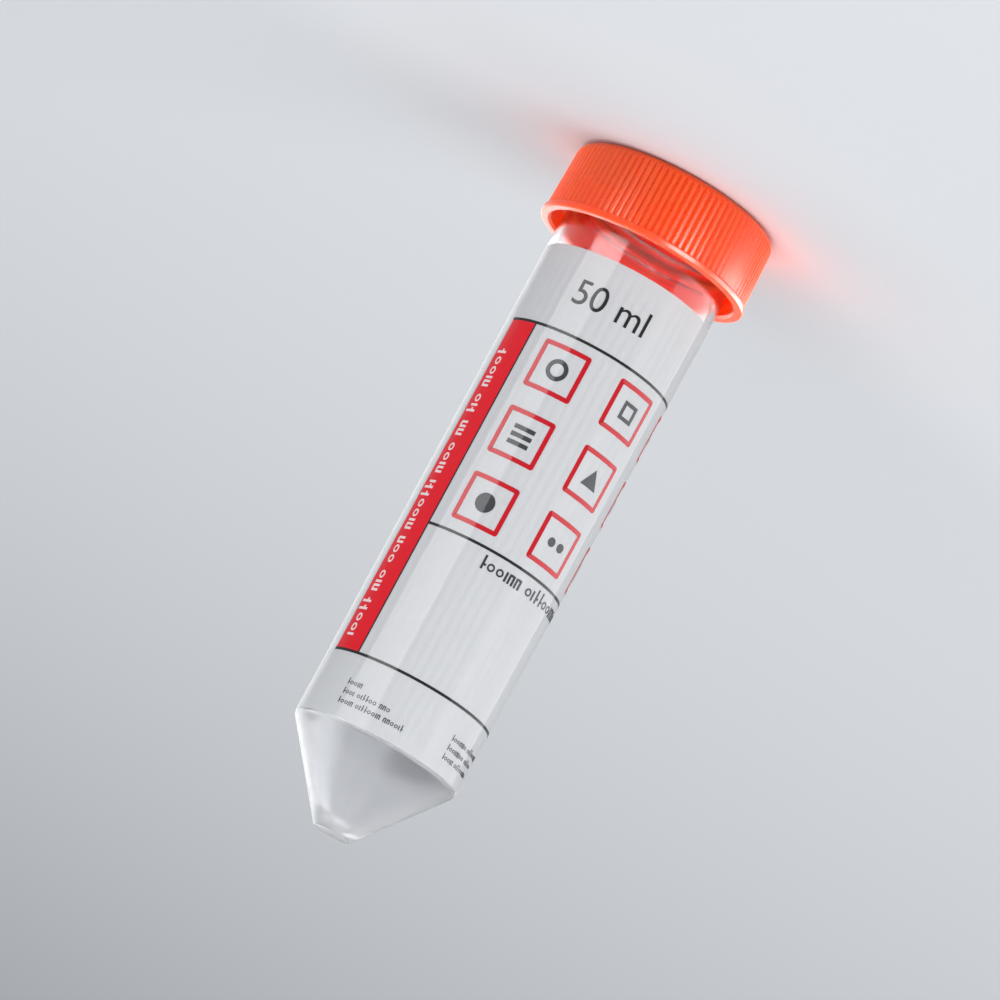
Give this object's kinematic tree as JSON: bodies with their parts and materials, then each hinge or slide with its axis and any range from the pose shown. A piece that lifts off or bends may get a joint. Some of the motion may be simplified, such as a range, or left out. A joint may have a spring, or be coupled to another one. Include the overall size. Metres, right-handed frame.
{
  "type": "50 ml conical tube",
  "caption": "Clear conical-bottom lab tube with a ribbed orange screw cap and a white printed wrap label.",
  "frame": {"origin": "centre of the cap's flat top, which the closed tube stands on", "axes": "+Z along the tube's axis, from the cap to the tip of the cone; the printed front faces -Y"},
  "size_m": [0.0356, 0.0356, 0.1152],
  "materials": {
    "cap_plastic": "moulded polyethylene, satin",
    "liner_foam": "smooth foam sheet",
    "clear_plastic": "translucent moulded polypropylene",
    "label_film": "white printed film"
  },
  "bodies": {
    "screw_cap": {"cap": "cap_plastic"},
    "liner": {"seal_liner": "liner_foam"},
    "bottle": {"tube": "clear_plastic", "label": "label_film"}
  },
  "joints": [
    {"name": "unscrew", "type": "hinge", "parent": "screw_cap", "child": "liner", "pos_m": [0, 0, 0], "axis": [0, 0, 1], "range_deg": [0, 900]},
    {"name": "lift_out", "type": "slide", "parent": "liner", "child": "bottle", "axis": [0, 0, 1], "range_m": [0, 0.015]}
  ],
  "couplings": [
    {"joint": "lift_out", "follows": "unscrew", "m_per_rad": 0.00095493}
  ]
}
